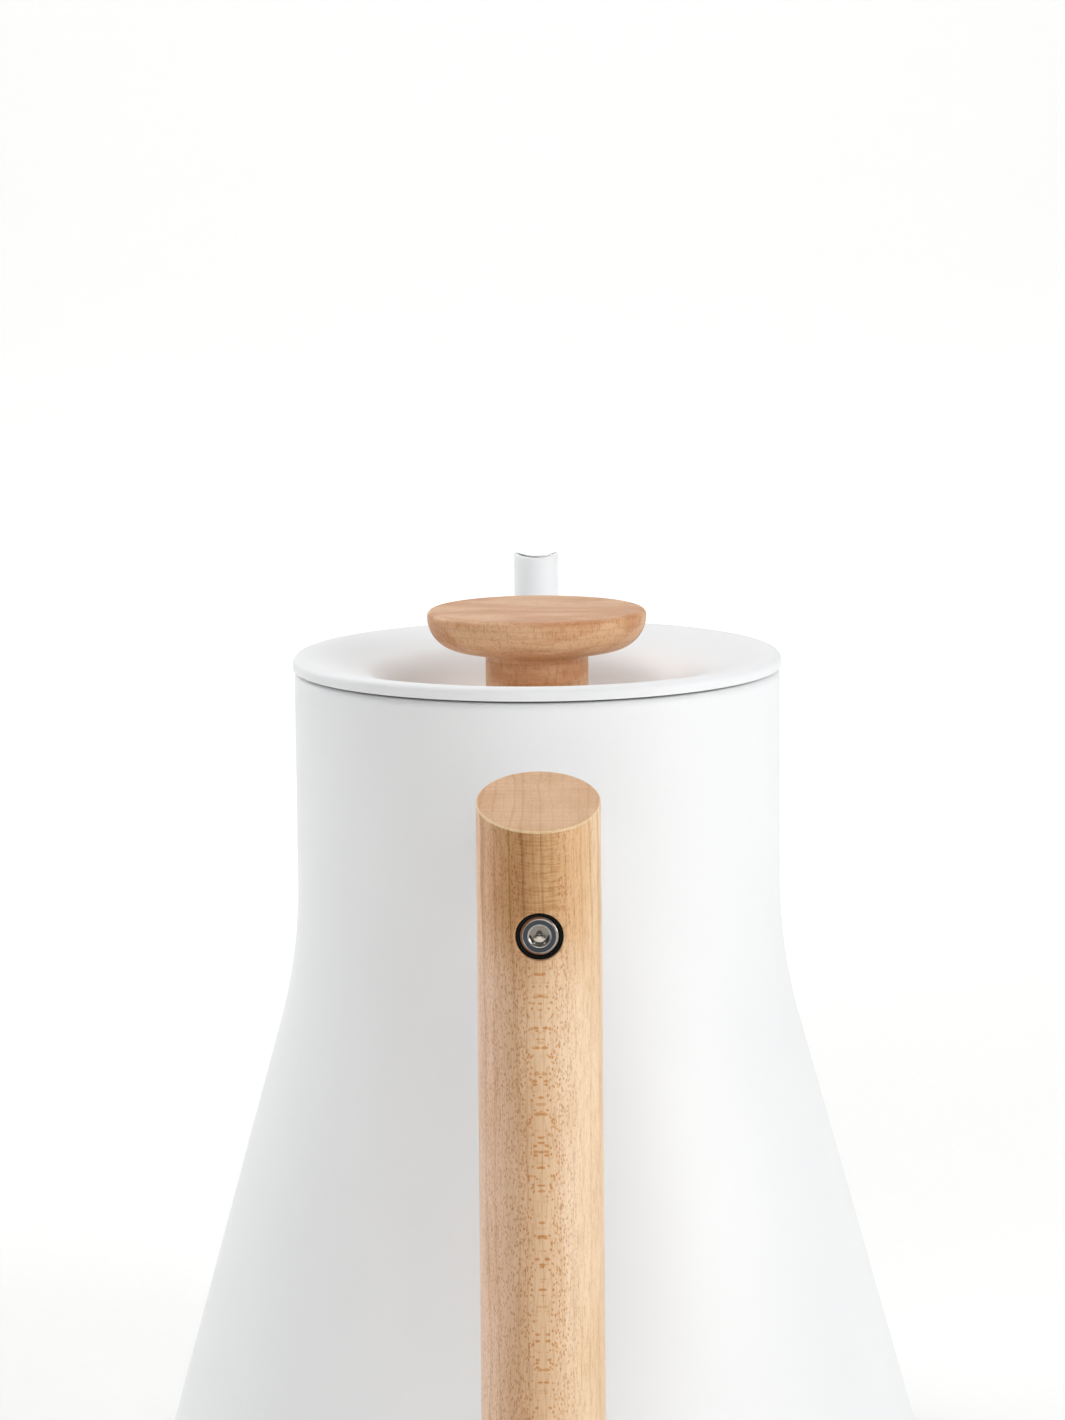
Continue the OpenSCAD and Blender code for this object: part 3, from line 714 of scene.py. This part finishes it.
    # the front hole's ring runs the other way round: its corners are taken in the order of their turn
    order = sorted(range(len(frontTurns)), key=lambda i: frontTurns[i])
    match = sorted(range(len(turns)), key=lambda i: turns[i])
    bridge([narrow[i] for i in match], [frontEnd[i] for i in order])
    piece = shape("handleGrip", points, faces, [gripMaple, gripEndMaple, gripEdgeMaple], "kettle",
                  ["handle_grip"], 50)
    # the cut end and its rounded edge show end grain, the edge painted paler as a painted highlight
    for face in piece.data.polygons:
        x, y, z = face.center / mm
        below = middle + slope * (x + handle["reach"]) - z
        if below < edge:
            face.material_index = 1 if below < 0.01 else 2


def makeArm():
    # a tube between the neck, where its weld is ground to a fillet, and the grip's back
    radius, weld, neck, edge = handle["armRadius"], handle["weld"], body["neckRadius"], handle["armEdge"]
    inside = radius - handle["armMetal"]
    sides = 96
    rings = []
    for i in range(9):
        a = math.radians(90 * i / 8)
        rings.append((radius + weld * (1 - math.sin(a)), "neck", weld * (1 - math.cos(a))))
    rings += [(radius, "span", 0), (radius, "grip", edge), (radius - edge, "grip", 0)]
    rings += [(inside, "grip", 0), (inside, "neck", 0)]
    points = []
    for r, end, step in rings:
        for i in range(sides):
            a = 2 * math.pi * i / sides
            y, z = r * math.cos(a), r * math.sin(a)
            neckX = -math.sqrt(neck ** 2 - y * y)
            gripX = -handle["reach"] + math.sqrt(gripRadius(armHeight + z) ** 2 - y * y) + handle["armGap"]
            x = {"neck": neckX - step, "grip": gripX + step, "span": (neckX + gripX) / 2}[end]
            points.append((x, y, armHeight + z))
    piece = shape("handleArm", points, joinRings(len(rings), sides), [white], "kettle", ["handle_arm"], 50)


def alongX(points, startX):
    # turns a lathed shape so that its axis runs from startX towards the kettle
    return [(startX + z, -y, armHeight + x) for x, y, z in points]


sleeve = dict(play=0.05, wall=0.65, edge=0.2, sink=1.0)


def makeSleeve():
    outer, wall, edge = handle["boreRadius"] - sleeve["play"], sleeve["wall"], sleeve["edge"]
    end = handle["boreDepth"] - sleeve["sink"]
    line = [(outer - wall, end), (outer - wall, edge)] + arc(outer - wall + edge, edge, edge, 180, 270, 5)
    line += arc(outer - edge, edge, edge, 270, 360, 5) + [(outer, end)]
    points, faces = lathe(line, 96)
    start = -handle["reach"] - handle["gripRadius"] + sleeve["sink"]
    piece = shape("gripSleeve", alongX(points, start), faces, [blackNylon], "kettle", ["grip_sleeve"])


screw = dict(headRadius=3.5, headHeight=4, shankRadius=2, length=25, across=3.3, socketDepth=2.0, sink=0.8,
             crown=0.55, face=2.95, faceStep=0.03, mouth=1.93, mouthEdge=0.12, slope=0.6,
             drilled=((1.45, 0.0), (0.55, 0.3), (0.5, 0.4), (0.48, 1.1)), drillTip=1.2)


def makeScrew():
    # socket cap screw: a face sunk a little inside a bead, a countersunk hexagon and a drilled end in it
    sides = 96
    start = -handle["reach"] - handle["gripRadius"] + screw["sink"]
    head, face, mouth = screw["headRadius"], screw["face"], screw["mouth"]
    crown, step, edge = screw["crown"], screw["faceStep"], screw["mouthEdge"]
    tail = screw["headHeight"] + screw["length"]
    points = []

    def hexagon(a):
        # flats of the hexagon lie above and below
        turn = (math.degrees(a) + 30) % 60 - 30
        return screw["across"] / 2 / math.cos(math.radians(turn))

    def countersink(radius):
        # a cone, which leaves curved edges where it meets the flats
        return step + edge + (mouth - radius) * screw["slope"]

    def addRing(radius, depth):
        # radius may depend on the turn, and depth on the radius
        for i in range(sides):
            a = 2 * math.pi * i / sides
            r = radius(a) if callable(radius) else radius
            points.append((r * math.cos(a), r * math.sin(a), depth(r) if callable(depth) else depth))

    rings = [(screw["shankRadius"] * 0.75, tail), (screw["shankRadius"], tail - 0.5)]
    rings += [(screw["shankRadius"], screw["headHeight"]), (head, screw["headHeight"])]
    rings += arc(head - crown, crown, crown, 0, -90, 8)
    rings += [(face, 0.0), (face - 0.04, step), (mouth + edge, step)]
    rings += arc(mouth + edge, step + edge, edge, -90, -180, 4)
    rings += [(hexagon, countersink), (hexagon, screw["socketDepth"])]
    rings += [(radius, screw["socketDepth"] + depth) for radius, depth in screw["drilled"]]
    for radius, depth in rings:
        addRing(radius, depth)
    faces = joinRings(len(rings), sides, closed=False)
    deep, far = len(points), len(points) + 1
    points += [(0, 0, screw["socketDepth"] + screw["drillTip"]), (0, 0, tail)]
    last = (len(rings) - 1) * sides
    faces += [(last + i, last + (i + 1) % sides, deep) for i in range(sides)]
    faces += [((i + 1) % sides, i, far) for i in range(sides)]
    piece = shape("gripScrew", alongX(points, start), faces, [screwSteel], "kettle", ["grip_screw"], 25)


# Lid

lid = dict(radius=50.3, height=3.1, hem=0.45, edge=1.5, shoulder=9.8, slope=15.7, knee=36.4, dishDepth=12.6,
           roll=9.3, fillet=3, angle=72, metal=1.0, hole=2.8, outlet=3.2)


def lidLine(depth):
    top = rimHeight + lid["height"]
    floor = top - lid["dishDepth"]
    slope, angle = math.radians(lid["slope"]), math.radians(lid["angle"])
    outer = lid["radius"] - lid["edge"]
    shoulderX = outer - lid["shoulder"] * math.sin(slope)
    kneeZ = top - lid["shoulder"] * (1 - math.cos(slope)) - (shoulderX - lid["knee"]) * math.tan(slope)
    rollX, rollZ = lid["knee"] + lid["roll"] * math.sin(slope), kneeZ - lid["roll"] * math.cos(slope)
    drop = rollZ + lid["roll"] * math.cos(angle) - floor - lid["fillet"] * (1 - math.cos(angle))
    floorRadius = rollX - (lid["roll"] + lid["fillet"]) * math.sin(angle) - drop / math.tan(angle)
    return ([(lid["hole"], floor - depth)]
            + arc(floorRadius, floor + lid["fillet"], lid["fillet"] + depth, 270, 270 + lid["angle"])
            + arc(rollX, rollZ, lid["roll"] - depth, 90 + lid["angle"], 90 + lid["slope"], 20)
            + arc(outer, top - lid["shoulder"], lid["shoulder"] - depth, 90 + lid["slope"], 90, 8)[:-1]
            + arc(outer, top - lid["edge"], lid["edge"] - depth, 90, 0, 12)
            + [(lid["radius"] - depth, rimHeight + lid["hem"])])


def makeLid():
    points, faces = lathe(sheet(lidLine, lid["metal"]), 288)
    piece = shape("lidShell", points, faces, [white, steel], "lid", ["lid_shell"])
    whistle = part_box("whistle_cup")
    middle = (whistle[0] + whistle[1]) / 2 / mm
    floor = rimHeight + lid["height"] - lid["dishDepth"]
    drill(piece, [((middle.x, 0, floor), (0, 0, 1), lid["outlet"], 4 * lid["metal"])])
    # the underside and the inside of the hem are bare steel, and the hem's end is painted
    hemRadius, hemEnd, level = lid["radius"] - lid["metal"] - 0.1, rimHeight + lid["hem"] + 0.01, 0.05
    for face in piece.data.polygons:
        reach, away = facing(face)
        end = reach > hemRadius and face.center.z / mm <= hemEnd
        under = face.normal.z < -level and not end
        inside = reach > hemRadius and away < 0 and abs(face.normal.z) < level
        face.material_index = 1 if under or inside else 0


knob = dict(radius=22.6, rise=12.1, stem=10.6, side=6.85, edge=1.35, slope=10.4, root=1.1, bore=4.05,
            boreDepth=13.5, foot=0.4)


def makeKnob():
    top = rimHeight + knob["rise"]
    floor = rimHeight + lid["height"] - lid["dishDepth"]
    slope = math.radians(knob["slope"])
    sideX, sideZ = knob["radius"] - knob["side"], top - knob["edge"]
    joinX = sideX + knob["side"] * math.sin(slope)
    joinZ = sideZ - knob["side"] * math.cos(slope)
    rootX = knob["stem"] + knob["root"]
    rootZ = joinZ - (joinX - rootX) * math.tan(slope) - knob["root"] / math.cos(slope)
    line = [(knob["bore"], floor + knob["boreDepth"]), (knob["bore"], floor)]
    line += arc(knob["stem"] - knob["foot"], floor + knob["foot"], knob["foot"], -90, 0, 5)
    line += arc(rootX, rootZ, knob["root"], 180, 90 + knob["slope"], 10)
    line += arc(sideX, sideZ, knob["side"], knob["slope"] - 90, 0, 24)
    line += arc(knob["radius"] - knob["edge"], sideZ, knob["edge"], 0, 90, 10)
    line += [(0, top), (0, floor + knob["boreDepth"])]
    points, faces = lathe(line, 240)
    piece = shape("knob", points, faces, [knobMaple], "lid", ["knob"])


makeBody()
makeSpout()
print("body and spout ready")
makeGrip()
makeArm()
makeSleeve()
makeScrew()
print("handle ready")
makeLid()
makeKnob()
print("lid ready")

# CAD parts that keep their own shape
for names, material in ((("body_floor", "base_cap", "lid_skirt", "arm_nut"), steel),
                        (("heat_spreader",), aluminium),
                        (("grip_washer", "knob_screw", "knob_washer", "whistle_cup", "whistle_outer_plate",
                          "whistle_spacer", "whistle_inner_plate"), screwSteel),
                        (("lid_gasket", "whistle_seal"), silicone),
                        (("knob_insert",), brass)):
    for name in names:
        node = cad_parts[name]
        node.data.materials.clear()
        node.data.materials.append(material)
print("inner parts ready")

# Floor and light

studio = dict(width=6.0, front=12.0, depth=3.0, bend=1.2, height=3.5,
              floor="FBFBFA", shade="F8F8F7", fibre=3,
              glow=0.3, glowFrom=(0.1, 1.6), glowTo=(1.2, 0.6), world=0.3)


def makeFloor():
    # a pale paper sweep: flat under the kettle and rising behind it. The floor behind the kettle and the
    # foot of the rise carry a painted glow, in place of light through the paper from its back, so that they
    # stay as pale as the floor near the kettle
    width, depth, bend = studio["width"], studio["depth"], studio["bend"]
    line = [(-studio["front"], 0), (depth, 0)]
    line += [(depth + bend * math.sin(math.radians(a)), bend * (1 - math.cos(math.radians(a))))
             for a in range(10, 91, 10)]
    line.append((depth + bend, studio["height"]))
    points = [(x, y, z) for x, z in line for y in (-width, width)]
    faces = [(2 * i, 2 * i + 1, 2 * i + 3, 2 * i + 2) for i in range(len(line) - 1)]
    mesh = bpy.data.meshes.new("sweep")
    mesh.from_pydata(points, [], faces)
    mesh.shade_smooth()
    made, tree, shader = newMaterial("palePaper", Roughness=0.9)
    fibre = addNode(tree, "TexNoise", Vector=millimetres(tree, [studio["fibre"]] * 3), Scale=1.0, Detail=2.0)
    tint = blendColours(tree, fibre.outputs[0], linear(studio["floor"]), linear(studio["shade"]))
    tree.links.new(tint, shader.inputs["Base Color"])
    place = addNode(tree, "SeparateXYZ", i0=addNode(tree, "TexCoord").outputs["Object"])
    # painted glow: the paper gives off light of its own behind the kettle, though it is no lamp
    glow = maths(tree, "MULTIPLY", band(tree, place.outputs[0], *studio["glowFrom"]),
                 band(tree, place.outputs[2], *studio["glowTo"]))
    shader.inputs["Emission Color"].default_value = (1, 1, 1, 1)
    tree.links.new(maths(tree, "MULTIPLY", glow, studio["glow"]), shader.inputs["Emission Strength"])
    mesh.materials.append(made)
    floor = bpy.data.objects.new("sweep", mesh)
    scene.collection.objects.link(floor)


middle, top = (0, 0, 0.12), (0, 0, 0.1)


def placeRound(turn, tilt, distance=1.6):
    # a place round the kettle's middle: turned from the camera to its right and tilted upwards, in degrees
    a, e = math.radians(turn), math.radians(tilt)
    return (-math.cos(a) * math.cos(e) * distance, -math.sin(a) * math.cos(e) * distance,
            middle[2] + math.sin(e) * distance)


# each softbox's place, what it points at, its size and its power
softboxes = dict(
    key=(placeRound(65, 16), middle, (0.9, 0.8), 9.9),
    front=(placeRound(0, 16), middle, (0.9, 0.8), 5.1),
    fill=(placeRound(-130, 35), middle, (0.9, 1.2), 8.8),
    topLeft=((0.2, 0.7, 1.7), top, (1.2, 1.2), 7),
    topRight=((0.2, -0.7, 1.7), top, (1.2, 1.2), 4.5),
    sweepLight=((2.4, 0, 2.6), (3.2, 0, 0), (3.0, 1.5), 25),
)


def makeSoftbox(name, place, aim, size, power):
    data = bpy.data.lights.new(name, "AREA")
    data.shape = "RECTANGLE"
    data.size, data.size_y = size
    data.energy = power
    lamp = bpy.data.objects.new(name, data)
    way = Vector(aim) - Vector(place)
    lamp.matrix_world = Matrix.Translation(place) @ way.to_track_quat("-Z", "Y").to_matrix().to_4x4()
    scene.collection.objects.link(lamp)


makeFloor()
for name, softbox in softboxes.items():
    makeSoftbox(name, *softbox)
world = bpy.data.worlds.new("studio")
world.use_nodes = True
world.node_tree.nodes["Background"].inputs[0].default_value = (1, 1, 1, 1)
world.node_tree.nodes["Background"].inputs[1].default_value = studio["world"]
scene.world = world
scene.view_settings.view_transform = "Standard"
print("floor and light ready")
